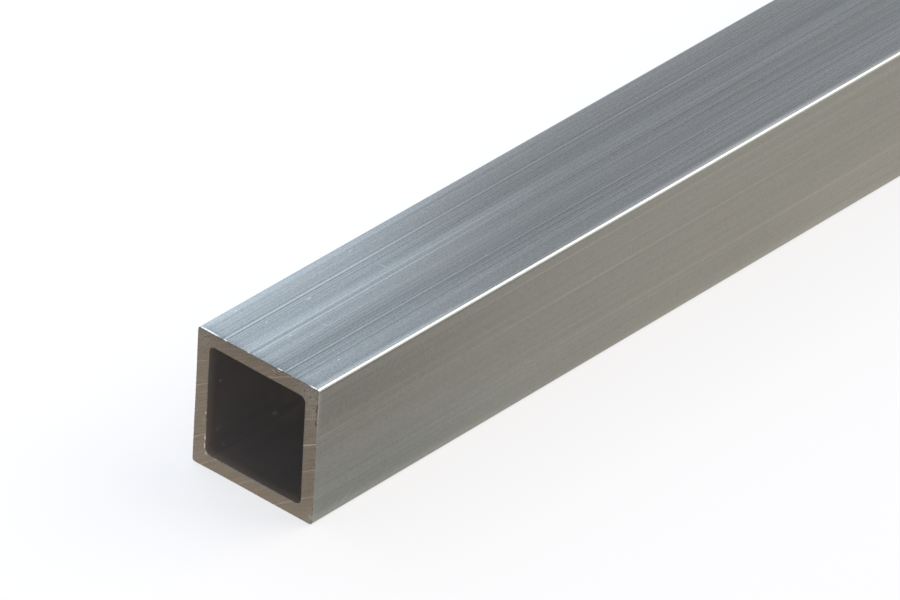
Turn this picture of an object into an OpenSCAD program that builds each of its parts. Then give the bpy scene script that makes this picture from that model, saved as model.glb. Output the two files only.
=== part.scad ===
// Square aluminium tube: one extruded length of stock, sawn square at both ends.
// It lies on the floor along X, with the origin under its middle.

/* [Section] */
// Width and height of the square section, measured outside
side = 25; // [12:0.5:100]
// Thickness of each of the four walls
wall = 2.5; // [1:0.25:4]
// Rounding of the four long edges outside
outer_radius = 0.5; // [0.3:0.1:2]
// Rounding of the four long edges inside the hollow
inner_radius = 1.2; // [0.4:0.1:3]

/* [Stock] */
// Length that the tube is sawn to
stock_length = 1000; // [50:10:6000]

/* [Sawn ends] */
// Edge broken round the outside of each sawn end
outer_break = 0.2; // [0.05:0.05:0.3]
// Edge broken round the mouth of the hollow at each sawn end
inner_break = 0.1; // [0.05:0.05:0.5]

/* [Hidden] */
// Width and height of the hollow
hollow_side = side - 2 * wall;
// How far a cut runs past the face that it opens
overrun = 1;
// Mill-finish aluminium
mill_grey = [0.69, 0.70, 0.71];
// Rounded edges count as true arcs
$fn = 64;

// Outline of a square section with rounded corners
module section(width, radius) {
    flat = width - 2 * radius;
    square([width, flat], center = true);
    square([flat, width], center = true);
    for (x = [-1, 1], y = [-1, 1])
        translate([x * flat / 2, y * flat / 2])
            circle(r = radius);
}

// Slice of a square bar that starts as section(width, radius) at z = 0 and
// spreads by `spread` on every side over its depth, with cones at its corners
module spreading_slice(width, radius, depth, spread) {
    flat = width - 2 * radius;
    low = width / 2;
    high = low + spread;
    for (turn = [0, 90])
        rotate([0, 0, turn])
            rotate([90, 0, 0])
                linear_extrude(height = flat, center = true)
                    polygon([[-low, 0], [low, 0], [high, depth], [-high, depth]]);
    for (x = [-1, 1], y = [-1, 1])
        translate([x * flat / 2, y * flat / 2, 0])
            cylinder(h = depth, r1 = radius, r2 = radius + spread);
}

// Puts its children at both sawn ends, with +Z leaving the stock and z = 0
// at `inset` inside the sawn face
module at_both_ends(inset) {
    for (way = [0, 1])
        mirror([0, 0, way])
            translate([0, 0, stock_length / 2 - inset])
                children();
}

// Solid bar with the outside of the tube, its end edges broken
module bar() {
    linear_extrude(height = stock_length - 2 * outer_break, center = true)
        section(side, outer_radius);
    at_both_ends(outer_break)
        spreading_slice(side, outer_radius, outer_break, -outer_break);
}

// The space inside the tube, its mouths widened by the broken edges
module hollow() {
    linear_extrude(height = stock_length + 2 * overrun, center = true)
        section(hollow_side, inner_radius);
    mouth = inner_break + overrun;
    at_both_ends(inner_break)
        spreading_slice(hollow_side, inner_radius, mouth, mouth);
}

// The tube, laid along X with its lower wall on the floor
module square_tube() {
    color(mill_grey)
        translate([0, 0, side / 2])
            rotate([0, 90, 0])
                difference() {
                    bar();
                    hollow();
                }
}

square_tube();
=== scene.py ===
"""Looks of a square aluminium tube: its extruded skin, its sawn ends, its hollow and a plain studio.

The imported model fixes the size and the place. Lengths are in metres where nothing says millimetres, in the
same frame: the tube lies along X with its lower wall on the floor, its near end is the one at lowest X, and
+Z is up. The marks on it, such as streaks and flecks, are given in millimetres. A tone is a factor on the
colour of the metal, or what is added to that factor.
"""
from __future__ import annotations

import logging
import math
from dataclasses import dataclass, field
from enum import Enum
from typing import ClassVar

import bpy
import numpy as np
from bpy.types import ID, Material, NodeOutputs, NodeSocket, NodeTree, Object
from mathutils import Matrix, Vector


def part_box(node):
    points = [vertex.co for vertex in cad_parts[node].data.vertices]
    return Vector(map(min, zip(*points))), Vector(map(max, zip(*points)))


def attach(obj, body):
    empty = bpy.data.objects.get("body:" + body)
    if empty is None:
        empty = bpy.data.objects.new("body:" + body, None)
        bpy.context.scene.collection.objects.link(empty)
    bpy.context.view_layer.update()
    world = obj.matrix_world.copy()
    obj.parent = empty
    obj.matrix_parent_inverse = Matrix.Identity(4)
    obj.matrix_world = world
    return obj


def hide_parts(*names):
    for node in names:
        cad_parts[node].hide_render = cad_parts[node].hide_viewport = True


LOG = logging.getLogger("square_tube")
MM = 0.001
MICRON = 0.000001
NODE = "square_tube"
BODY = "root"

MULTIPLY = {"operation": "MULTIPLY"}
MULTIPLY_ADD = {"operation": "MULTIPLY_ADD"}
# Most values of a noise lie between these, which are stretched to the range that is wanted.
MOST_NOISE = {"From_Min": 0.3, "From_Max": 0.7}
# The same for the skin's hair lines and grain, which come out softer.
SOFT_NOISE = {"From_Min": 0.25, "From_Max": 0.75}
# Share of its strength that each finer octave of a noise keeps.
OCTAVE_SHARE = 0.6
# Place of a corner's points, which aren't on any face. It is too far off for the forms of a face.
OFF_FACE = 1.0
# Width in millimetres of a streak that covers its face evenly.
WHOLE_FACE = 1000

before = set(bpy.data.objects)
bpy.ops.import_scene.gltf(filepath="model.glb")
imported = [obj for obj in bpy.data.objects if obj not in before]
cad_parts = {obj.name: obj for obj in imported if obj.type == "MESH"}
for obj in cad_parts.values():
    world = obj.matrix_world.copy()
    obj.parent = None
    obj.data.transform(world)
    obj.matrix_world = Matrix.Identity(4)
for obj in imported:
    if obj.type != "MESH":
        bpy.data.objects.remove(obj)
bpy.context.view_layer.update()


class Face(Enum):
    """The four long faces, in the order in which a section's outline meets them."""

    RIGHT = 0
    TOP = 1
    LEFT = 2
    BOTTOM = 3

    @property
    def heading(self) -> int:
        """Which way a place on the face counts: up on the two sides, and to the right on top and below."""
        return 1 if self in (Face.RIGHT, Face.BOTTOM) else -1


class Zone(Enum):
    """The finishes of the tube, in the order of its material slots and of the way from outside to inside."""

    SKIN = 0
    SAWN = 1
    BORE = 2


def linear(hex_colour: str) -> tuple[float, float, float, float]:
    """Turns an sRGB hex colour to linear RGBA, by the sRGB curve: a straight foot, and a power above it.

    Args:
        hex_colour: Colour such as "#8c8f91".

    Returns:
        Linear red, green, blue and an alpha of 1.
    """
    values = np.array([int(hex_colour[i : i + 2], 16) for i in (1, 3, 5)]) / 255.0
    curve = np.where(values <= 0.04045, values / 12.92, ((values + 0.055) / 1.055) ** 2.4)
    return (*curve.tolist(), 1.0)


def add_node(tree: NodeTree, kind: str, settings: dict | None = None, **sockets) -> NodeOutputs:
    """Adds one shader node with its settings, input values and links.

    Args:
        tree: Node tree that gets the node.
        kind: Blender's name for the node type, less the "ShaderNode" that each starts with.
        settings: Properties to set on the node itself.
        **sockets: Input name, with spaces as underscores, or "in" and its number, to a value or to the
            output socket that feeds it.

    Returns:
        The new node's outputs.
    """
    node = tree.nodes.new("ShaderNode" + kind)
    for name, value in (settings or {}).items():
        setattr(node, name, value)
    for name, value in sockets.items():
        numbered = name.startswith("in") and name[2:].isdigit()
        socket = node.inputs[int(name[2:])] if numbered else node.inputs[name.replace("_", " ")]
        if isinstance(value, NodeSocket):
            tree.links.new(value, socket)
        else:
            socket.default_value = value
    return node.outputs


def add_object(name: str, data: ID) -> Object:
    """Adds an object to the scene.

    Args:
        name: Name of the object.
        data: The mesh, lamp or camera that it shows.

    Returns:
        The object, at the origin.
    """
    added = bpy.data.objects.new(name, data)
    bpy.context.scene.collection.objects.link(added)
    return added


def die_lines(tree: NodeTree, place: NodeSocket, run: float, pitch: float, detail: float) -> NodeSocket:
    """Noise drawn out along X, as the fine lines that a die leaves along an extrusion.

    The place is divided by the run along X and by the pitch across it, so one cell of noise is one run long
    and one pitch wide.

    Args:
        tree: Node tree that gets the nodes.
        place: The point's place on the piece.
        run: Length of a line.
        pitch: Distance from line to line.
        detail: Octaves of finer noise.

    Returns:
        The noise value, from 0 to 1.
    """
    cells = add_node(tree, "Mapping", Vector=place, Scale=(1 / run, 1 / pitch, 1 / pitch))["Vector"]
    return add_node(tree, "TexNoise", Vector=cells, Scale=1.0, Detail=detail, Roughness=OCTAVE_SHARE)["Fac"]


@dataclass(frozen=True)
class Fleck:
    """A small dent, scratch or bit of burr: metal rubbed bright, a painted glint on a mouth's burr, and dark
    where its tone is below 0.

    It is an ellipsoid: its middle is given from the near end, across and up, and then come its size along
    X, Y and Z, all in millimetres, and its lean about them in degrees.
    """

    whole_share: ClassVar[float] = 0.3
    at: tuple[float, ...]
    size: tuple[float, ...]
    lean: tuple[float, ...] = (0, 0, 0)
    tone: float = 0.7

    @classmethod
    def rows(cls, *rows: tuple) -> tuple[Fleck, ...]:
        """Makes flecks from rows of their fields."""
        return tuple(cls(*row) for row in rows)

    def laid_on(self, tree: NodeTree, place: NodeSocket, half_length: float, tone: NodeSocket) -> NodeSocket:
        """Adds the fleck to the tone of the metal.

        The place is moved to the fleck, turned by its lean and divided by its half sizes. The fleck is whole
        within a share of the distance that is then 1, and fades from there.

        Args:
            tree: Node tree that gets the nodes.
            place: The point's place on the piece.
            half_length: Half the tube's length.
            tone: Tone of the metal without the fleck.

        Returns:
            The tone with the fleck.
        """
        local = add_node(
            tree,
            "Mapping",
            {"vector_type": "TEXTURE"},
            Vector=place,
            Location=np.array(self.at) * MM - (half_length, 0, 0),
            Rotation=np.radians(self.lean),
            Scale=np.array(self.size) * MM / 2,
        )["Vector"]
        away = add_node(tree, "VectorMath", {"operation": "LENGTH"}, in0=local)["Value"]
        ends = {"From_Min": self.whole_share, "From_Max": 1.0, "To_Min": self.tone, "To_Max": 0.0}
        spot = add_node(tree, "MapRange", Value=away, **ends)["Result"]
        return add_node(tree, "Math", in0=tone, in1=spot)["Value"]


@dataclass(frozen=True)
class SawMark:
    """An arc that the blade's teeth have dragged across a sawn end, with its tone at either end of it.

    Start and stop are where the arc comes onto the face and leaves it, across and up in millimetres.
    """

    start: tuple[float, float]
    stop: tuple[float, float]
    tones: tuple[float, float]

    def laid_on(self, tree: NodeTree, place: NodeSocket, blade: float, width: float) -> NodeSocket:
        """How much tone the arc adds at a point.

        The blade's middle lies square off the middle of the chord, as far as puts both ends of the chord at
        the blade's radius from it. The arc is where the distance from it is that radius, to half a width.

        Args:
            tree: Node tree that gets the nodes.
            place: The point's place on the face, with nothing along X.
            blade: Radius of the blade.
            width: Width of the arc.

        Returns:
            The added tone, which goes evenly from the start's to the stop's.
        """
        start, stop = np.array(self.start) * MM, np.array(self.stop) * MM
        chord = stop - start
        half = float(np.hypot(*chord)) / 2
        below = np.array([chord[1], -chord[0]]) / (2 * half) * (1 if chord[0] > 0 else -1)
        middle = (start + stop) / 2 + below * math.sqrt(blade**2 - half**2)
        away = add_node(tree, "VectorMath", {"operation": "DISTANCE"}, in0=place, in1=(0.0, *middle))["Value"]
        on_arc = add_node(tree, "Math", {"operation": "COMPARE"}, in0=away, in1=blade, in2=width / 2)["Value"]
        across = add_node(tree, "SeparateXYZ", Vector=place)["Y"]
        ends = {"From_Min": start[0], "From_Max": stop[0], "To_Min": self.tones[0], "To_Max": self.tones[1]}
        tone = add_node(tree, "MapRange", Value=across, **ends)["Result"]
        return add_node(tree, "Math", MULTIPLY, in0=on_arc, in1=tone)["Value"]


class Finish:
    """A surface finish, which makes its own material."""

    title: ClassVar[str]
    colour: str

    def shader(self, tree: NodeTree) -> NodeSocket:
        """Adds the finish's nodes to an empty tree and gives the shader that they end in."""
        raise NotImplementedError

    def toned(self, tree: NodeTree, other: str, share: NodeSocket, tone: NodeSocket) -> NodeSocket:
        """The finish's colour with a share of another one mixed in, all times the tone.

        Args:
            tree: Node tree that gets the nodes.
            other: The other colour.
            share: Share of the other colour.
            tone: The tone.

        Returns:
            The colour at the point.
        """
        colours = linear(self.colour), linear(other)
        mixed = add_node(tree, "Mix", {"data_type": "RGBA"}, in0=share, in6=colours[0], in7=colours[1])[2]
        return add_node(tree, "VectorMath", {"operation": "SCALE"}, in0=mixed, Scale=tone)["Vector"]

    def material(self) -> Material:
        """Makes the material, which has the finish's name.

        Returns:
            The material.
        """
        material = bpy.data.materials.new(self.title)
        material.use_nodes = True
        tree = material.node_tree
        tree.nodes.clear()
        add_node(tree, "OutputMaterial", Surface=self.shader(tree))
        return material


@dataclass(frozen=True)
class MillFinish(Finish):
    """Mill-finish extruded aluminium: left as it comes from the die, so satin, with fine lines along it.

    The real lines and grain are several times finer. They are drawn as coarse as they need to be to show.
    """

    title: ClassVar[str] = "mill_finish_extruded_aluminium"
    half_length: float
    colour: str = "#98958b"
    cool_reflection_colour: str = "#989a93"
    roughness: float = 0.3
    roughness_sway: float = 0.03
    across_lines: float = 0.3
    hair_pitch: float = 0.3 * MM
    hair_run: float = 70 * MM
    hair_tone: float = 0.13
    hair_height: float = 1.5 * MICRON
    grain: float = 0.3 * MM
    grain_tone: float = 0.15
    band_pitch: float = 4.0 * MM
    band_run: float = 500 * MM
    flecks: tuple[Fleck, ...] = ()

    def shader(self, tree: NodeTree) -> NodeSocket:
        """Adds the finish's nodes: the mesh's streaks with their painted light and shade, its painted cool
        tint, hair lines, grain, flecks and bands.

        Args:
            tree: Empty node tree.

        Returns:
            The finished shader.
        """
        place = add_node(tree, "TexCoord")["Object"]
        lined = add_node(tree, "Attribute", {"attribute_name": "lined"})["Fac"]
        tone = add_node(tree, "Attribute", {"attribute_name": "tone"})["Fac"]
        hair = die_lines(tree, place, self.hair_run, self.hair_pitch, 1.0)
        grain = add_node(tree, "TexNoise", Vector=place, Scale=1 / self.grain, Detail=1.0)["Fac"]
        for value, reach in ((hair, self.hair_tone), (grain, self.grain_tone)):
            added = add_node(tree, "MapRange", Value=value, **SOFT_NOISE, To_Min=-reach, To_Max=reach)
            tone = add_node(tree, "Math", MULTIPLY_ADD, in0=added["Result"], in1=lined, in2=tone)["Value"]
        for fleck in self.flecks:
            tone = fleck.laid_on(tree, place, self.half_length, tone)
        band = die_lines(tree, place, self.band_run, self.band_pitch, 3.0)
        low, high = self.roughness - self.roughness_sway, self.roughness + self.roughness_sway
        rough = add_node(tree, "MapRange", Value=band, **MOST_NOISE, To_Min=low, To_Max=high)["Result"]
        relief = add_node(tree, "Math", MULTIPLY, in0=hair, in1=lined)["Value"]
        # The smear attribute paints a cool tint on the long edges' highlight and on a reflection low on the
        # right face near the end
        cool = add_node(tree, "Attribute", {"attribute_name": "smear"})["Fac"]
        return add_node(
            tree,
            "BsdfPrincipled",
            Base_Color=self.toned(tree, self.cool_reflection_colour, cool, tone),
            Metallic=1.0,
            Roughness=rough,
            Anisotropic=self.across_lines,
            Normal=add_node(tree, "Bump", Strength=1.0, Distance=self.hair_height, Height=relief)["Normal"],
            Tangent=add_node(tree, "Tangent", {"direction_type": "RADIAL", "axis": "X"})["Tangent"],
        )["BSDF"]


@dataclass(frozen=True)
class SawnFinish(Finish):
    """Sawn aluminium: bare metal that a disc blade has cut, dull and warm, with arcs where its teeth dragged.

    The real tooth marks and grain are finer. They are drawn as coarse as they need to be to show.
    """

    title: ClassVar[str] = "sawn_aluminium"
    half_length: float
    colour: str = "#807465"
    smeared_colour: str = "#98958b"
    roughness: float = 0.42
    blade: float = 175 * MM
    mark_width: float = 0.14 * MM
    patch: float = 4.0 * MM
    patch_noise: ClassVar[dict[str, float]] = {"From_Min": 0.35, "From_Max": 0.55}
    patch_least: float = 0.4
    tooth_pitch: float = 0.3 * MM
    tooth_run: float = 5 * MM
    tooth_tone: float = 0.12
    tooth_height: float = 6.0 * MICRON
    grain: float = 0.3 * MM
    grain_tone: float = 0.14
    pit: float = 0.35 * MM
    pit_noise: ClassVar[dict[str, float]] = {"From_Min": 0.56, "From_Max": 0.68}
    pit_tone: float = 1.1
    marks: tuple[SawMark, ...] = ()
    flecks: tuple[Fleck, ...] = ()

    def shader(self, tree: NodeTree) -> NodeSocket:
        """Adds the finish's nodes: tooth marks, grain, the blade's arcs, smeared metal with its pits, flecks.

        The tooth marks are noise that is short across the cut and long along it, and the cut runs along the
        chord of the middle arc. The arcs fade in patches, and the pits are the peaks of a noise.

        Args:
            tree: Empty node tree.

        Returns:
            The finished shader.
        """
        place = add_node(tree, "TexCoord")["Object"]
        flat_place = add_node(tree, "VectorMath", MULTIPLY, in0=place, in1=(0.0, 1.0, 1.0))["Vector"]
        tone = add_node(tree, "Attribute", {"attribute_name": "tone"})["Fac"]
        smear = add_node(tree, "Attribute", {"attribute_name": "smear"})["Fac"]
        middle_mark = self.marks[len(self.marks) // 2]
        across, up = np.subtract(middle_mark.stop, middle_mark.start)
        teeth_at = add_node(
            tree,
            "Mapping",
            {"vector_type": "TEXTURE"},
            Vector=flat_place,
            Rotation=(math.atan2(up, across), 0.0, 0.0),
            Scale=(1.0, self.tooth_run, self.tooth_pitch),
        )["Vector"]
        fine = {"Detail": 2.0, "Roughness": OCTAVE_SHARE}
        teeth = add_node(tree, "TexNoise", Vector=teeth_at, Scale=1.0, **fine)["Fac"]
        grain = add_node(tree, "TexNoise", Vector=flat_place, Scale=1 / self.grain, **fine)["Fac"]
        for value, reach in ((teeth, self.tooth_tone), (grain, self.grain_tone)):
            added = add_node(tree, "MapRange", Value=value, **MOST_NOISE, To_Min=-reach, To_Max=reach)
            tone = add_node(tree, "Math", in0=tone, in1=added["Result"])["Value"]
        patches = add_node(tree, "TexNoise", Vector=flat_place, Scale=1 / self.patch, Detail=1.0)["Fac"]
        ends = {"To_Min": self.patch_least, "To_Max": 1.0}
        shown = add_node(tree, "MapRange", Value=patches, **self.patch_noise, **ends)["Result"]
        for mark in self.marks:
            added = mark.laid_on(tree, flat_place, self.blade, self.mark_width)
            tone = add_node(tree, "Math", MULTIPLY_ADD, in0=added, in1=shown, in2=tone)["Value"]
        pits = add_node(tree, "TexNoise", Vector=flat_place, Scale=1 / self.pit, Detail=1.0)["Fac"]
        ends = {"To_Min": 0.0, "To_Max": -self.pit_tone}
        depth = add_node(tree, "MapRange", Value=pits, **self.pit_noise, **ends)["Result"]
        tone = add_node(tree, "Math", MULTIPLY_ADD, in0=depth, in1=smear, in2=tone)["Value"]
        for fleck in self.flecks:
            tone = fleck.laid_on(tree, place, self.half_length, tone)
        return add_node(
            tree,
            "BsdfPrincipled",
            Base_Color=self.toned(tree, self.smeared_colour, smear, tone),
            Metallic=1.0,
            Roughness=self.roughness,
            Normal=add_node(tree, "Bump", Strength=1.0, Distance=self.tooth_height, Height=teeth)["Normal"],
        )["BSDF"]


@dataclass(frozen=True)
class BoreFinish(Finish):
    """The inside of the extrusion: dull oxide on drawn lines, which stays dark as little light gets in."""

    title: ClassVar[str] = "oxidised_aluminium_bore"
    half_length: float
    colour: str = "#6e675f"
    mouth_light_colour: str = "#705e4b"
    metallic: float = 0.2
    roughness: float = 0.6
    line_pitch: float = 0.6 * MM
    line_run: float = 90 * MM
    line_tone: float = 0.04
    flecks: tuple[Fleck, ...] = ()

    def shader(self, tree: NodeTree) -> NodeSocket:
        """Adds the finish's nodes: the tone with its painted light and shade and the warm tint of the painted
        light, which the mesh carries, faint drawn lines and flecks.

        Args:
            tree: Empty node tree.

        Returns:
            The finished shader.
        """
        place = add_node(tree, "TexCoord")["Object"]
        tone = add_node(tree, "Attribute", {"attribute_name": "tone"})["Fac"]
        lines = die_lines(tree, place, self.line_run, self.line_pitch, 2.0)
        ends = {"To_Min": 1 - self.line_tone, "To_Max": 1 + self.line_tone}
        share = add_node(tree, "MapRange", Value=lines, **MOST_NOISE, **ends)["Result"]
        tone = add_node(tree, "Math", MULTIPLY, in0=tone, in1=share)["Value"]
        for fleck in self.flecks:
            tone = fleck.laid_on(tree, place, self.half_length, tone)
        # The smear attribute is the warm tint of the painted light by each mouth
        mouth_light = add_node(tree, "Attribute", {"attribute_name": "smear"})["Fac"]
        return add_node(
            tree,
            "BsdfPrincipled",
            Base_Color=self.toned(tree, self.mouth_light_colour, mouth_light, tone),
            Metallic=self.metallic,
            Roughness=self.roughness,
        )["BSDF"]


@dataclass(frozen=True)
class PaleFloor(Finish):
    """A plain matt studio floor, which the camera and mirrors see mostly as white, under its soft shadow."""

    title: ClassVar[str] = "pale_studio_floor"
    colour: str = "#f4efe9"
    white_share: float = 0.7

    def shader(self, tree: NodeTree) -> NodeSocket:
        """Adds the finish's nodes: matt paint, and plain white over it for the camera and for mirrors.

        Args:
            tree: Empty node tree.

        Returns:
            The finished shader.
        """
        rays = add_node(tree, "LightPath")
        seen = rays["Is Camera Ray"]
        for ray in ("Is Glossy Ray", "Is Transmission Ray"):
            seen = add_node(tree, "Math", {"operation": "MAXIMUM"}, in0=seen, in1=rays[ray])["Value"]
        return add_node(
            tree,
            "MixShader",
            Fac=add_node(tree, "Math", MULTIPLY, in0=seen, in1=self.white_share)["Value"],
            in1=add_node(tree, "BsdfDiffuse", Color=linear(self.colour))["BSDF"],
            in2=add_node(tree, "Emission", Color=(1.0, 1.0, 1.0, 1.0), Strength=1.0)["Emission"],
        )["Shader"]


@dataclass(frozen=True)
class Section:
    """The outline of a square section with rounded corners, in the Y-Z plane about its middle."""

    half_width: float
    radius: float
    flat_points: tuple[int, ...]
    corner_points: int

    def outline(self) -> tuple[np.ndarray, np.ndarray]:
        """Points and outward normals, starting low on the right face and going up, over the top and round.

        On a flat a point is the half width out and a share of the flat along it. On a corner it is the
        corner's centre plus the radius at the turning angle. Each face is the first one, turned by its
        quarter turns.

        Returns:
            Points and unit normals, each with a row for every point, as (y, z).
        """
        flat = self.half_width - self.radius
        turn = np.linspace(0, math.pi / 2, self.corner_points + 2)[1:-1]
        arc = np.column_stack([np.cos(turn), np.sin(turn)])
        points, normals = [], []
        for face, count in zip(Face, self.flat_points):
            across = np.column_stack([np.full(count, self.half_width), np.linspace(-flat, flat, count)])
            angle = face.value * math.pi / 2
            spin = np.array([[math.cos(angle), math.sin(angle)], [-math.sin(angle), math.cos(angle)]])
            points.append(np.vstack([across, flat + self.radius * arc]) @ spin)
            normals.append(np.vstack([np.tile([1.0, 0.0], (count, 1)), arc]) @ spin)
        # So far the first face is at highest Y. The right face is at lowest Y, so Y is mirrored.
        return np.vstack(points) * [-1.0, 1.0], np.vstack(normals) * [-1.0, 1.0]

    def places(self) -> np.ndarray:
        """How far each point lies from the middle of its face, up or to the right, and NaN on a corner."""
        flat = self.half_width - self.radius
        corner = np.full(self.corner_points, np.nan)
        counts = zip(Face, self.flat_points)
        flats = [face.heading * np.linspace(-flat, flat, count) for face, count in counts]
        return np.concatenate([part for across in flats for part in (across, corner)])

    def faces(self) -> np.ndarray:
        """Number of the face that each point lies on, where a corner counts to the face before it."""
        counts = [count + self.corner_points for count in self.flat_points]
        return np.repeat([face.value for face in Face], counts)


@dataclass(frozen=True)
class Streak:
    """A line or band along one face, from the die or painted light and shade: raised or sunk, lighter or
    darker.

    Place, width and reach are in millimetres, and the height is in microns. A finite reach makes it fade
    out that far from the near end. A fine line without one gets fainter too, down to the far share of light
    or of dark lines.
    """

    fine: ClassVar[float] = 0.3
    far_light: ClassVar[float] = 0.6
    far_dark: ClassVar[float] = 0.35
    fine_reach: ClassVar[float] = 75 * MM
    slow_wave: ClassVar[float] = 97 * MM
    slow_share: ClassVar[float] = 0.25
    quick_wave: ClassVar[float] = 41 * MM
    quick_share: ClassVar[float] = 0.15
    face: Face
    place: float
    width: float
    tone: float = 0.0
    height: float = 0.0
    reach: float = math.inf

    @classmethod
    def rows(cls, face: Face, *rows: tuple[float, ...]) -> tuple[Streak, ...]:
        """Makes one face's streaks from rows of their other fields."""
        return tuple(cls(face, *row) for row in rows)

    def profile(self, section: Section) -> np.ndarray:
        """A bell curve about the streak's place, at each point of a section.

        Args:
            section: The section.

        Returns:
            Values from 0 to 1, and 0 off the streak's face.
        """
        places = np.nan_to_num(section.places(), nan=OFF_FACE)
        bell = np.exp(-(((places - self.place * MM) / (self.width * MM)) ** 2))
        return np.where(section.faces() == self.face.value, bell, 0.0)

    def drift(self, x: np.ndarray) -> np.ndarray:
        """How the streak comes and goes along the tube.

        With a reach it is a bell curve of the distance. Without one it is 1 plus a slow and a quicker sine
        wave, which start differently for each place, and a fine line's fading is a bell curve too.

        Args:
            x: Distances from the near end.

        Returns:
            The share of the streak that is there.
        """
        if math.isfinite(self.reach):
            return np.exp(-((x / (self.reach * MM)) ** 2))
        start = self.place + 2 * self.face.value
        slow = np.sin(2 * np.pi * x / self.slow_wave + start)
        quick = np.sin(2 * np.pi * x / self.quick_wave + 3 * start)
        least = self.far_light if self.tone > 0 else self.far_dark
        least = least if self.width < self.fine else 1.0
        fading = least + (1 - least) * np.exp(-((x / self.fine_reach) ** 2))
        return fading * (1 + self.slow_share * slow + self.quick_share * quick)


@dataclass(frozen=True)
class EdgeRoll:
    """A stretch of a sawn end's outer edge that is rolled over further, in millimetres, and its tone, which
    paints a glint on the rolled burr.
    """

    face: Face
    place: float
    half_length: float
    width: float
    tone: float


@dataclass(frozen=True)
class Smudge:
    """A patch where clean metal is smeared over a sawn end, in millimetres from the middle of that end."""

    y: float
    z: float
    radius: float
    amount: float

    def cover(self, ring: np.ndarray) -> np.ndarray:
        """A bell curve of each point's distance from the smudge's middle."""
        away = np.hypot(ring[:, 0] - self.y * MM, ring[:, 1] - self.z * MM)
        return self.amount * np.exp(-((away / (self.radius * MM)) ** 2))


@dataclass(frozen=True)
class Ring:
    """One ring of points round the tube, with its finish, and with the tone and smear that its points carry.

    The smear is the share of the finish's second colour: on the skin, a painted cool tint of the long edges'
    highlight and of a reflection low on the right face; on a sawn end, smeared metal; in the hollow, the warm
    tint of the painted light by each mouth.
    """

    x: np.ndarray | float
    outline: np.ndarray
    tone: np.ndarray
    zone: Zone
    smear: np.ndarray | float = 0.0


# Broad raised and sunk bands, whose tones paint part of the face's banded reflection, and the painted glow
# beside the bright right edge; then painted shade that shows only near the end, over the softbox's
# reflection, over the glow and on the burr's shadow side; then die lines
TOP_STREAKS = Streak.rows(
    Face.TOP,
    (-11.9, 0.6, 0.08),
    (-11.0, 1.3, 0.08, 30),
    (-6.2, 1.6, -0.07, -30),
    (-4.5, 1.1, -0.04),
    (-2.1, 1.2, 0.08),
    (-0.8, 2.0, -0.07),
    (3.8, 1.5, -0.03, -35),
    (9.0, 1.6, 0.03, 12),
    (11.9, 0.32, 0.85),
    (11.6, 0.35, 0.12),
    (0, WHOLE_FACE, -0.08, 0, 65),
    (-4.8, 1.7, -0.1, 0, 55),
    (5.0, 2.8, -0.25, 0, 62),
    (9.2, 2.6, -0.13, 0, 68),
    (11.9, 0.32, -0.7, 0, 100),
    (0, WHOLE_FACE, -0.1, 0, 1.2),
    (-10.5, 2.0, -0.15, 0, 1.2),
    (-10.6, 0.15, -0.14, -2),
    (-10.2, 0.1, 0.14, 2),
    (-9.9, 0.1, -0.08, -1),
    (-9.1, 0.1, -0.14, -2),
    (-7.6, 0.1, -0.16, -2),
    (-7.15, 0.1, 0.6, 5),
    (-6.85, 0.1, -0.26, -3),
    (-6.5, 0.09, 0.24, 3),
    (-6.0, 0.09, 0.12, 2),
    (-4.3, 0.1, -0.16, -3),
    (-3.8, 0.1, -0.14, -3),
    (-3.0, 0.1, 0.22, 6),
    (-2.3, 0.11, 0.22, 6),
    (-1.7, 0.1, -0.15, -3),
    (-1.2, 0.1, 0.32, 4),
    (-0.7, 0.09, 0.18, 2),
    (-0.2, 0.1, -0.14, -2),
    (0.3, 0.1, -0.13, -2),
    (1.4, 0.11, 0.15, 4),
    (2.6, 0.1, 0.12, 2),
    (3.6, 0.11, -0.1, -2),
    (4.2, 0.11, -0.12, -2),
    (5.0, 0.1, -0.14, -2),
    (5.35, 0.09, 0.42, 5),
    (5.7, 0.1, -0.24, -3),
    (6.5, 0.09, 0.18, 2),
    (6.9, 0.1, -0.17, -2),
    (7.7, 0.09, 0.18, 2),
    (8.0, 0.1, -0.17, -2),
    (8.3, 0.09, 0.18, 2),
    (8.9, 0.1, 0.2, 2),
    (11.0, 0.14, -0.14, -2),
)

# Painted shade and light: darker near the end, lighter along the lower half further on, a narrower highlight
# beside the bright upper edge and a lit rim at the end; then die lines, then long light lines that start some
# way from the end
RIGHT_STREAKS = Streak.rows(
    Face.RIGHT,
    (0, WHOLE_FACE, -0.22, 0, 68),
    (-8.0, 5.0, 0.1),
    (-8.0, 5.0, -0.105, 0, 110),
    (7.5, 5.0, -0.12, 0, 30),
    (12.0, 0.18, -0.42, 0, 85),
    (10.0, 4.5, 0.35, 0, 0.6),
    (-10.5, 2.0, 0.15, 0, 1.0),
    (9.8, 0.2, -0.05, -2),
    (5.9, 0.2, -0.04, -2),
    (4.8, 0.15, 0.05, 2),
    (3.4, 0.15, 0.06, 3),
    (3.4, 0.15, 0.14, 0, 9),
    (-5.4, 0.16, 0.03, 3),
    (10.15, 0.15, 0.2),
    (10.15, 0.15, -0.2, 0, 40),
    (3.2, 0.2, 0.17),
    (3.2, 0.2, -0.14, 0, 42),
    (-5.6, 0.18, 0.13),
    (-5.6, 0.18, -0.13, 0, 35),
    (-11.9, 0.8, 0.17),
)

# A painted cool tint of the reflection low on the right face near the end
PAINTED_COOL_PATCH = Streak(Face.RIGHT, -9.0, 7.0, 1.0, 0, 50)

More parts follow.
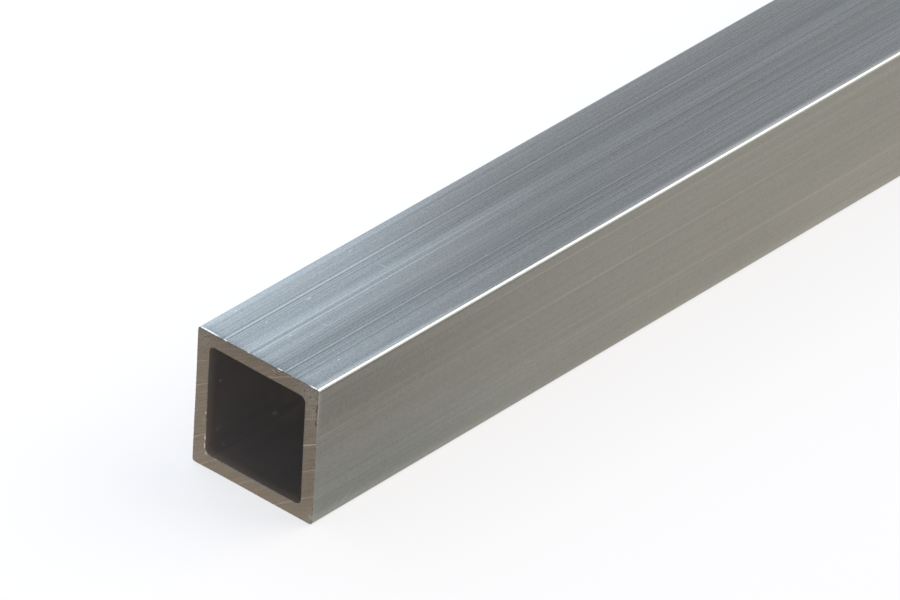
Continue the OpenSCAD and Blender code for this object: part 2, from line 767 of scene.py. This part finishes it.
TOP_FLECKS = Fleck.rows(
    ((7.2, 11.3, 25), (0.7, 0.25, 1), (0, 0, 20)),
    ((8.3, 5.8, 25), (0.8, 0.22, 1), (0, 0, 5)),
    ((18.0, 5.8, 25), (1.6, 0.3, 1)),
    ((32.6, 10.3, 25), (1.1, 0.25, 1), (0, 0, 10)),
    ((33.1, 4.0, 25), (2.0, 0.22, 1), (0, 0, -84)),
    ((14.2, -0.9, 25), (1.2, 0.2, 1), (0, 0, -82)),
    ((8.2, 0.8, 25), (1.0, 0.25, 1)),
    ((8.6, -8.8, 25), (0.9, 0.25, 1), (0, 0, 10)),
    ((46.9, -5.3, 25), (0.7, 0.22, 1), (0, 0, 30)),
)

SIDE_SCRATCHES = Fleck.rows(
    ((7.8, -12.5, 1.7), (3.6, 1, 0.22), (0, -32, 0), 0.3),
    ((5.5, -12.5, 1.6), (2.0, 1, 0.2), (0, -38, 0), 0.22),
    ((2.1, -12.5, 7.6), (2.2, 1, 0.2), (0, -21, 0), 0.2),
    ((1.9, -12.5, 6.3), (2.0, 1, 0.2), (0, -25, 0), 0.2),
    ((2.2, -12.5, 5.0), (2.4, 1, 0.2), (0, -28, 0), 0.16),
    ((1.6, -12.5, 2.6), (2.2, 1, 0.25), (0, -40, 0), 0.16),
)

# A nick below the upper edge, burr along the left side of the mouth with painted glints on it, and the torn
# right edge
END_FLECKS = Fleck.rows(
    ((0, -3.3, 24.2), (1, 1.5, 0.2), (20, 0, 0), 1.0),
    ((0, -4.3, 24.6), (1, 1.0, 0.2), (-10, 0, 0), 0.9),
    ((0, -4.0, 23.9), (1, 1.2, 0.3), (0, 0, 0), -0.4),
    ((0, 10.15, 10.0), (1, 0.35, 0.8), (0, 0, 0), 1.4),
    ((0, 10.5, 8.6), (1, 0.9, 2.2), (0, 0, 0), 0.15),
    ((0, 10.1, 5.4), (1, 0.32, 1.3), (0, 0, 0), 1.6),
    ((0, 10.1, 3.9), (1, 0.35, 1.4), (0, 0, 0), 1.6),
    ((0, 9.75, 2.65), (1, 0.7, 0.35), (30, 0, 0), 1.8),
    ((0, -12.4, 20.4), (1, 0.4, 8.5), (0, 0, 0), -0.3),
    ((0, -12.3, 21.2), (1, 0.4, 2.0), (0, 0, 0), -0.35),
    ((0, -12.2, 18.8), (1, 0.45, 1.6), (0, 0, 0), -0.4),
    ((0, -12.3, 23.3), (1, 0.4, 0.8), (0, 0, 0), -0.4),
    ((0, -12.1, 1.4), (1, 0.5, 1.2), (-20, 0, 0), 0.5),
)

BORE_FLECKS = Fleck.rows(
    ((2.9, 10.0, 14.7), (0.9, 1, 0.5), (0, 30, 0), 1.0),
    ((15.7, 9.7, 2.75), (1.6, 1, 0.7), (0, 0, 0), 1.3),
    ((2.9, 10.0, 5.7), (1.2, 1, 0.8), (0, 0, 0), 0.5),
    ((3.7, 9.6, 2.7), (0.9, 1, 0.7), (0, 0, 0), 0.5),
)

SAW_MARKS = (
    SawMark((12.2, 18.6), (4.3, 22.8), (0.6, 0.0)),
    SawMark((12.2, 14.15), (-5.6, 24.2), (0.85, 0.55)),
    SawMark((12.0, 9.6), (-11.2, 23.0), (0.42, 0.1)),
    SawMark((11.9, 4.8), (-11.2, 19.1), (0.7, 0.3)),
    SawMark((10.15, 0.6), (-12.5, 15.06), (0.6, 1.4)),
    SawMark((2.0, 0.9), (-12.5, 10.3), (0.45, 0.7)),
    SawMark((-5.5, 0.6), (-12.5, 5.4), (0.6, 0.7)),
)

# Stretches of the rolled edge, whose high tones paint the burr's glints
END_ROLLS = (
    EdgeRoll(Face.TOP, -10.3, 2.0, 0.2, 3.2),
    EdgeRoll(Face.TOP, -6.9, 0.35, 0.14, 2.2),
    EdgeRoll(Face.TOP, -2.1, 0.3, 0.12, 1.5),
    EdgeRoll(Face.TOP, 4.4, 0.5, 0.14, 2.2),
    EdgeRoll(Face.TOP, 11.5, 0.9, 0.19, 3.0),
    EdgeRoll(Face.RIGHT, 8.0, 4.0, 0.15, 1.1),
    EdgeRoll(Face.RIGHT, -11.5, 1.0, 0.16, 1.0),
    EdgeRoll(Face.LEFT, 2.0, 5.0, 0.12, 1.3),
    EdgeRoll(Face.BOTTOM, -4.0, 5.0, 0.12, 1.3),
)

END_SMUDGES = (
    Smudge(11.2, 11.2, 1.6, 0.4),
    Smudge(-11.2, 11.2, 3.2, 0.42),
    Smudge(-11.5, 6.5, 3.0, 0.2),
    Smudge(-12.0, -11.5, 1.0, 0.3),
)


@dataclass
class SquareTube:
    """The tube: one closed surface with its skin, two sawn ends and the hollow.

    Four values in a field are for the right, upper, left and lower face, or for the long edge after each.
    The marks are distances in millimetres: from the near end, from the far end, and from either mouth.
    """

    end_zone: ClassVar[float] = 0.05 * MM
    inside_share: ClassVar[float] = 0.97
    lower_wall: ClassVar[float] = -0.9
    length: float
    side: float
    wall: float
    outer_radius: float = 0.5 * MM
    inner_radius: float = 1.2 * MM
    flat_points: tuple[int, ...] = (180, 400, 180, 180)
    corner_points: int = 10
    near_marks: tuple[float, ...] = (0.3, 0.6, 1.0, 1.5, 2.2, 4.0)
    near_step: float = 10 * MM
    near_run: float = 200 * MM
    far_rings: int = 16
    far_marks: tuple[float, ...] = (4.0, 1.0, 0.3)
    bore_marks: tuple[float, ...] = (0.1, 2, 5, 8, 11, 14, 17, 20, 22, 40)
    ring_steps: int = 13
    edge_roll: float = 0.07 * MM
    roll_angles: tuple[float, ...] = (0, 20, 45)
    roll_depth: float = 0.8
    ripple_waves: tuple[float, float] = (0.9 * MM, 3.7 * MM)
    ripple_share: float = 0.3
    mouth_break: float = 0.06 * MM
    mouth_sway: float = 0.2 * MM
    mouth_burr: float = 0.05 * MM
    # Tones of the long edges' rounding paint a highlight on them, brightest on the upper right edge
    long_edge_highlight_tones: tuple[float, ...] = (1.65, 1.1, 1.2, 1.0)
    hair_shares: tuple[float, ...] = (0.4, 1.0, 0.6, 0.6)
    # The right face's lower tone paints shade on it
    face_tones: tuple[float, ...] = (0.885, 0.93, 0.93, 0.93)
    edge_tones: tuple[float, ...] = (0.62, 0.5, 0.7, 0.7)
    edge_smear: float = 0.6
    # The sawn face's tones paint light and shade on it, lighter low down and toward the left
    ring_tones: tuple[float, ...] = (-0.22, 0.07, -0.04, 0.99)
    ring_sway: float = 0.06
    # The hollow's tones paint shade at the mouths and light deeper in
    mouth_tone: float = 0.58
    mouth_run: float = 13.6 * MM
    deep_tone: float = 2.8
    # Painted light by each mouth, rising toward the lower left, the corners and the lower wall, with a warm
    # tint
    mouth_light_rise: float = 0.42
    mouth_light_start: float = 0.26
    mouth_light_run: float = 8 * MM
    full_tint_light: float = 0.2
    tint_run: float = 1.6 * MM
    corner_lift: float = 0.3
    # Painted shade on the corners' roundings, and painted light beside them
    corner_dip: float = 0.32
    dip_width: float = 0.09
    corner_rise: float = 0.15
    rise_width: float = 0.3
    floor_lift: float = 0.1
    streaks: tuple[Streak, ...] = TOP_STREAKS + RIGHT_STREAKS
    painted_cool_patch: Streak = PAINTED_COOL_PATCH
    end_rolls: tuple[EdgeRoll, ...] = END_ROLLS
    smudges: tuple[Smudge, ...] = END_SMUDGES
    stray_streaks: int = 16
    stray_places: tuple[float, float] = (-11.5, 11.5)
    stray_widths: tuple[float, float] = (0.12, 0.3)
    stray_tones: tuple[float, float] = (-0.14, 0.16)
    stray_relief: float = 25
    rng_seed: int = 11
    outer: Section = field(init=False)
    inner: Section = field(init=False)

    def __post_init__(self) -> None:
        """Works out the two outlines, which have the same number of points."""
        counts = self.flat_points, self.corner_points
        self.outer = Section(self.side / 2, self.outer_radius, *counts)
        self.inner = Section(self.side / 2 - self.wall, self.inner_radius, *counts)

    @classmethod
    def measured(cls, node: Object) -> SquareTube:
        """Takes the tube's length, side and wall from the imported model.

        The hollow is the widest ring of points that lies well inside the faces and clear of the ends.

        Args:
            node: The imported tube.

        Returns:
            A tube of that size.
        """
        low, high = (np.array(corner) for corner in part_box(node.name))
        length, side = float(high[0] - low[0]), float(high[2] - low[2])
        points = np.empty(len(node.data.vertices) * 3, dtype=np.float32)
        node.data.vertices.foreach_get("co", points)
        points = points.reshape(-1, 3).astype(float)
        reach = np.maximum(np.abs(points[:, 1]), np.abs(points[:, 2] - side / 2))
        clear_of_ends = np.abs(points[:, 0]) < length / 2 - cls.end_zone
        inside = reach < cls.inside_share * side / 2
        return cls(length, side, side / 2 - float(reach[clear_of_ends & inside].max()))

    def hidden_streaks(self) -> tuple[Streak, ...]:
        """Streaks of the two faces that the photograph hides, strewn with a fixed seed.

        The lighter a streak is, the higher it is, by the stray relief for each unit of tone.

        Returns:
            The streaks.
        """
        rng = np.random.default_rng(self.rng_seed)
        shape = (2, self.stray_streaks)
        places = rng.uniform(*self.stray_places, shape)
        widths = rng.uniform(*self.stray_widths, shape)
        tones = rng.uniform(*self.stray_tones, shape)
        rows = np.stack([places, widths, tones, tones * self.stray_relief], axis=-1)
        return Streak.rows(Face.LEFT, *rows[0]) + Streak.rows(Face.BOTTOM, *rows[1])

    def skin_stations(self) -> np.ndarray:
        """Distances from the near end of the skin's rings: close by both ends, and even in between."""
        near = np.arange(0, self.near_run, self.near_step)[1:]
        far = np.linspace(self.near_run, self.length - self.near_step, self.far_rings)
        start = np.array(self.near_marks) * MM
        stop = self.length - np.array(self.far_marks) * MM
        return np.concatenate([start, near, far, stop])

    def edge(self) -> tuple[np.ndarray, np.ndarray]:
        """How wide the sawn ends' outer edge is rolled over, and its tone, at each point of the outline.

        Each stretch adds a smooth hump of its own half length to a plain narrow roll, and its high tone there
        paints a glint. The width of all of it ripples with the product of two sine waves.

        Returns:
            Widths in metres, and tones.
        """
        places, faces = np.nan_to_num(self.outer.places(), nan=OFF_FACE), self.outer.faces()
        width = np.full(len(places), self.edge_roll)
        tone = np.array(self.edge_tones)[faces]
        for roll in self.end_rolls:
            hump = np.exp(-(np.abs((places - roll.place * MM) / (roll.half_length * MM)) ** 4))
            hump = np.where(faces == roll.face.value, hump, 0.0)
            width += hump * (roll.width * MM - self.edge_roll)
            tone += hump * (roll.tone - tone)
        ripple = np.prod([np.sin(places * 2 * np.pi / wave) for wave in self.ripple_waves], axis=0)
        return width * np.where(places < OFF_FACE, 1 + self.ripple_share * ripple, 1.0), tone

    def skin_rings(self) -> list[Ring]:
        """Rings of the skin from the near end to the far one, with the streaks and a painted highlight on the
        long edges.

        A streak's height and tone follow its bell curve across the face and its drift along the tube. The
        skin lies deeper than the model's faces by the highest point of all, so nothing stands out of them.

        Returns:
            The rings.
        """
        outline, outward = self.outer.outline()
        stations = self.skin_stations()
        streaks = self.streaks + self.hidden_streaks()
        profiles = np.array([streak.profile(self.outer) for streak in streaks])
        drifts = np.array([streak.drift(stations) for streak in streaks])
        heights = np.array([streak.height for streak in streaks]) * MICRON
        tones = np.array([streak.tone for streak in streaks])
        height = (drifts * heights[:, None]).T @ profiles
        tone = 1 + (drifts * tones[:, None]).T @ profiles
        face = self.outer.faces()
        tone *= np.array(self.face_tones)[face]
        corner = np.isnan(self.outer.places())
        # The corner points take the long edges' tones, which paint their highlight
        tone[:, corner] = np.array(self.long_edge_highlight_tones)[face[corner]]
        depth = height.max() - height
        # Painted cool tint: a patch low on the right face, and all of the long edges under their highlight
        cool = np.outer(self.painted_cool_patch.drift(stations), self.painted_cool_patch.profile(self.outer))
        cool[:, corner] = 1.0
        return [
            Ring(station - self.length / 2, outline - outward * sunk[:, None], ring_tone, Zone.SKIN, cooled)
            for station, sunk, ring_tone, cooled in zip(stations, depth, tone, cool)
        ]

    def end_rings(self, way: int, skin: Ring) -> list[Ring]:
        """Rings of one sawn end, from the skin over the rolled edge and across the cut face to the mouth.

        The rolled edge is a quarter ellipse, as long as it is wide at each point and a share of that deep,
        and it starts as deep as the skin's last ring. The cut face's rings go straight from there to the
        mouth. The mouth's edge is broken low down and on the left, and opposite a fine burr hangs into the
        hollow. The face's tone is a cubic of the height, which paints light and shade on it: lightest low
        down and darker on top. On the two side walls it also rises from right to left, as painted light.

        Args:
            way: 1 for the far end and -1 for the near one.
            skin: The skin's ring that is nearest to this end.

        Returns:
            The rings, the one at the skin first.
        """
        outline, outward = self.outer.outline()
        inner, inner_outward = self.inner.outline()
        sunk = ((outline - skin.outline) * outward).sum(axis=1)
        width, edge_tone = self.edge()
        rings = []
        for angle in np.radians(self.roll_angles):
            x = way * (self.length / 2 - width * (1 - math.sin(angle)))
            depth = sunk * math.cos(angle) + self.roll_depth * width * (1 - math.cos(angle))
            rings.append(Ring(x, outline - outward * depth[:, None], edge_tone, Zone.SAWN, self.edge_smear))
        lip = outline - outward * (self.roll_depth * width)[:, None]
        toward_exit = (inner[:, 0] - inner[:, 1]) / (2 * self.inner.half_width)
        broken = self.mouth_break + self.mouth_sway * toward_exit
        mouth = inner + inner_outward * np.clip(broken, -self.mouth_burr, 2 * self.mouth_break)[:, None]
        for step in np.linspace(0, 1, self.ring_steps):
            ring = (1 - step) * lip + step * mouth
            up, left = ring[:, 1] / (self.side / 2), ring[:, 0] / (self.side / 2)
            # Painted light and shade: lighter low down and toward the left
            tone = np.polyval(self.ring_tones, up) + self.ring_sway * left * (1 - up**2)
            smear = sum(smudge.cover(ring) for smudge in self.smudges)
            rings.append(Ring(way * self.length / 2, ring, tone, Zone.SAWN, smear))
        return rings

    def mouth_light(self) -> np.ndarray:
        """How much painted light by each mouth adds to the tone at each point round the hollow.

        It rises evenly toward the lower left corner, with a share more on the lower wall. It also rises with
        the square of the distance from the middle of each wall, against the shade near the corners.

        Returns:
            The added shares of the plain tone.
        """
        outline, _ = self.inner.outline()
        y, z = outline.T / self.inner.half_width
        across = np.minimum(np.abs(y), np.abs(z))
        mouth_light = np.maximum(self.mouth_light_rise * (y - z) - self.mouth_light_start, 0) + self.corner_lift * across**2
        return mouth_light + np.where(z < self.lower_wall, self.floor_lift, 0)

    def bore_rings(self) -> list[Ring]:
        """Rings of the hollow, from the far mouth to the near one.

        The tone grows as e to the power of the depth over the mouth's run, up to that of the inside further
        in, which paints shade near each mouth and light deeper in. The painted light by each mouth and its
        warm tint thin out with the depth. The tone rises gently toward each corner and dips on its rounding,
        by two bell curves, which paint light against the shade near the corners and shade on the lit
        rounding.

        Returns:
            The rings.
        """
        outline, _ = self.inner.outline()
        mouth_light = self.mouth_light()
        # Painted shade on the corners' rounding, and painted light beside it
        off_corner = 1 - np.abs(outline).min(axis=1) / self.inner.half_width
        shading = 1 - self.corner_dip * np.exp(-((off_corner / self.dip_width) ** 2))
        shading += self.corner_rise * np.exp(-((off_corner / self.rise_width) ** 2))
        rings = []
        for depth in np.array(self.bore_marks) * MM:
            # Painted shade at the mouth, giving way to painted light deeper in
            tone = min(self.mouth_tone * math.exp(depth / self.mouth_run), self.deep_tone)
            tone = tone * shading * (1 + mouth_light * math.exp(-depth / self.mouth_light_run))
            tint = np.minimum(mouth_light / self.full_tint_light, 1) * math.exp(-depth / self.tint_run)
            rings.append(Ring(self.length / 2 - depth, outline, tone, Zone.BORE, tint))
        return rings + [Ring(-ring.x, outline, ring.tone, Zone.BORE, ring.smear) for ring in rings[::-1]]

    def rings(self) -> list[Ring]:
        """All rings of the closed path: along the skin, over the far end, back inside, over the near end."""
        skin = self.skin_rings()
        far, near = self.end_rings(1, skin[-1]), self.end_rings(-1, skin[0])
        return skin + far + self.bore_rings() + near[::-1]

    def build(self) -> Object:
        """Makes the mesh, which is the section's outline carried round the closed path, and its object.

        A strip of faces has the lower zone of its two rings, so it is skin where it touches a ring of the
        skin, bore between two rings of the hollow, and sawn elsewhere.

        Returns:
            The tube's object, at the origin.
        """
        rings = self.rings()
        columns = len(rings[0].outline)
        points = [np.column_stack([np.broadcast_to(ring.x, columns), ring.outline]) for ring in rings]
        points = np.vstack(points) + [0.0, 0.0, self.side / 2]
        index = np.arange(len(rings) * columns).reshape(len(rings), columns)
        after, beside = np.roll(index, -1, axis=0), np.roll(index, -1, axis=1)
        quads = np.stack([index, after, np.roll(after, -1, axis=1), beside], axis=-1).reshape(-1, 4)
        mesh = bpy.data.meshes.new("extruded_tube")
        mesh.from_pydata(points, [], quads.tolist())
        zone = np.array([ring.zone.value for ring in rings])
        strips = np.minimum(zone, np.roll(zone, -1))
        mesh.polygons.foreach_set("material_index", np.repeat(strips, columns).astype(np.int32))
        mesh.polygons.foreach_set("use_smooth", np.ones(len(quads), dtype=bool))
        carried = {
            "tone": [ring.tone for ring in rings],
            "smear": [np.broadcast_to(ring.smear, columns) for ring in rings],
            "lined": [np.array(self.hair_shares)[self.outer.faces()]] * len(rings),
        }
        for name, values in carried.items():
            layer = mesh.attributes.new(name, "FLOAT", "POINT")
            layer.data.foreach_set("value", np.concatenate(values).astype(np.float32))
        mesh.update()
        return add_object("extruded_tube", mesh)

    def dress(self, tube: Object) -> None:
        """Gives the tube its three finishes, in the order of Zone.

        Args:
            tube: The tube's object.
        """
        half = self.length / 2
        finishes = (
            MillFinish(half, flecks=TOP_FLECKS + SIDE_SCRATCHES),
            SawnFinish(half, marks=SAW_MARKS, flecks=END_FLECKS),
            BoreFinish(half, flecks=BORE_FLECKS),
        )
        for finish in finishes:
            tube.data.materials.append(finish.material())


@dataclass(frozen=True)
class Viewpoint:
    """The photograph's view: a long lens that looks down on the near end and along the tube."""

    azimuth: float = -50.337
    elevation: float = 33.268
    roll: float = 3.425
    distance: float = 1.7137
    aim_right: float = 30.62 * MM
    aim_up: float = 29.75 * MM
    lens_mm: float = 444.1
    sensor_mm: float = 36.0
    nearest: float = 0.1
    farthest: float = 100.0

    def place(self, start: Vector) -> None:
        """Makes the scene's camera.

        Args:
            start: The middle of the near end's lower edge, from which the aim is measured.
        """
        azimuth, elevation, roll = (math.radians(a) for a in (self.azimuth, self.elevation, self.roll))
        level = Vector((math.cos(azimuth), math.sin(azimuth), 0.0))
        out, high = math.cos(elevation), math.sin(elevation)
        back = Vector((math.sin(azimuth) * out, -math.cos(azimuth) * out, high))
        upright = back.cross(level)
        right = level * math.cos(roll) + upright * math.sin(roll)
        up = upright * math.cos(roll) - level * math.sin(roll)
        lens = bpy.data.cameras.new("camera")
        lens.lens = self.lens_mm
        lens.sensor_width = self.sensor_mm
        lens.clip_start = self.nearest
        lens.clip_end = self.farthest
        camera = add_object("camera", lens)
        turn = Matrix((right, up, back)).transposed().to_4x4()
        spot = start + back * self.distance + right * self.aim_right + up * self.aim_up
        camera.matrix_world = Matrix.Translation(spot) @ turn
        bpy.context.scene.camera = camera


@dataclass
class Studio:
    """A pale floor, an even cool surround, a broad warm lamp at the right and one softbox by the near end."""

    floor_size: float = 120.0
    floor_drop: float = 0.1 * MM
    surround: float = 0.95
    surround_colour: str = "#dce7fd"
    key_light: float = 1.6
    key_colour: str = "#ffeed8"
    key_angle: float = 50.0
    key_from: tuple[float, float, float] = (0.64, -0.39, 0.65)
    softbox_light: float = 2.1
    softbox_colour: str = "#c6e0ff"
    softbox_size: float = 0.22
    softbox_turn: float = 30.0
    softbox_from: tuple[float, float, float] = (0.075, 0.2, 0.14)

    def build(self, start: Vector) -> None:
        """Sets up the whole studio.

        Args:
            start: The middle of the near end's lower edge.
        """
        self.lay_floor()
        self.light_surround()
        self.hang_key()
        self.hang_softbox(start)

    def lay_floor(self) -> None:
        """Lays the floor just under the tube."""
        half = self.floor_size / 2
        mesh = bpy.data.meshes.new("studio_floor")
        corners = [(-half, -half), (half, -half), (half, half), (-half, half)]
        mesh.from_pydata([(x, y, -self.floor_drop) for x, y in corners], [], [(0, 1, 2, 3)])
        floor = add_object("studio_floor", mesh)
        mesh.materials.append(PaleFloor().material())

    def light_surround(self) -> None:
        """Lights the scene evenly from all round."""
        world = bpy.data.worlds.new("studio_surround")
        bpy.context.scene.world = world
        world.use_nodes = True
        tree = world.node_tree
        tree.nodes.clear()
        light = add_node(tree, "Background", Color=linear(self.surround_colour), Strength=self.surround)
        add_node(tree, "OutputWorld", Surface=light["Background"])

    def hang_key(self) -> None:
        """Hangs the broad lamp far off, which draws the bright line on the upper long edge."""
        lamp = bpy.data.lights.new("key_lamp", "SUN")
        lamp.energy = self.key_light
        lamp.color = linear(self.key_colour)[:3]
        lamp.angle = math.radians(self.key_angle)
        key = add_object("key_lamp", lamp)
        key.matrix_world = Vector(self.key_from).to_track_quat("Z", "Y").to_matrix().to_4x4()

    def hang_softbox(self, start: Vector) -> None:
        """Hangs the softbox that the upper face mirrors near its near end.

        A lamp's power is its light as a mirror shows it, times pi and its area.

        Args:
            start: The middle of the near end's lower edge.
        """
        lamp = bpy.data.lights.new("softbox", "AREA")
        lamp.shape = "SQUARE"
        lamp.size = self.softbox_size
        lamp.energy = self.softbox_light * math.pi * self.softbox_size**2
        lamp.color = linear(self.softbox_colour)[:3]
        softbox = add_object("softbox", lamp)
        way = Vector(self.softbox_from)
        turn = way.to_track_quat("Z", "Y").to_matrix().to_4x4()
        about = Matrix.Rotation(math.radians(self.softbox_turn), 4, "Z")
        softbox.matrix_world = Matrix.Translation(start + way) @ turn @ about
        softbox.visible_camera = False


def main() -> None:
    """Builds the tube and the studio round it."""
    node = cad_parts[NODE]
    tube = SquareTube.measured(node)
    sizes = tube.side / MM, tube.wall / MM, tube.length / MM
    LOG.info("tube %.1f mm square, wall %.2f mm, %.0f mm long", *sizes)
    piece = tube.build()
    tube.dress(piece)
    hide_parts(NODE)
    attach(piece, BODY)
    LOG.info("%s has %d faces", piece.name, len(piece.data.polygons))
    start = Vector((-tube.length / 2, 0.0, 0.0))
    Studio().build(start)
    Viewpoint().place(start)
    bpy.context.scene.view_settings.view_transform = "Standard"


if __name__ == "__main__":
    logging.basicConfig(level=logging.INFO, format="%(message)s")
    main()
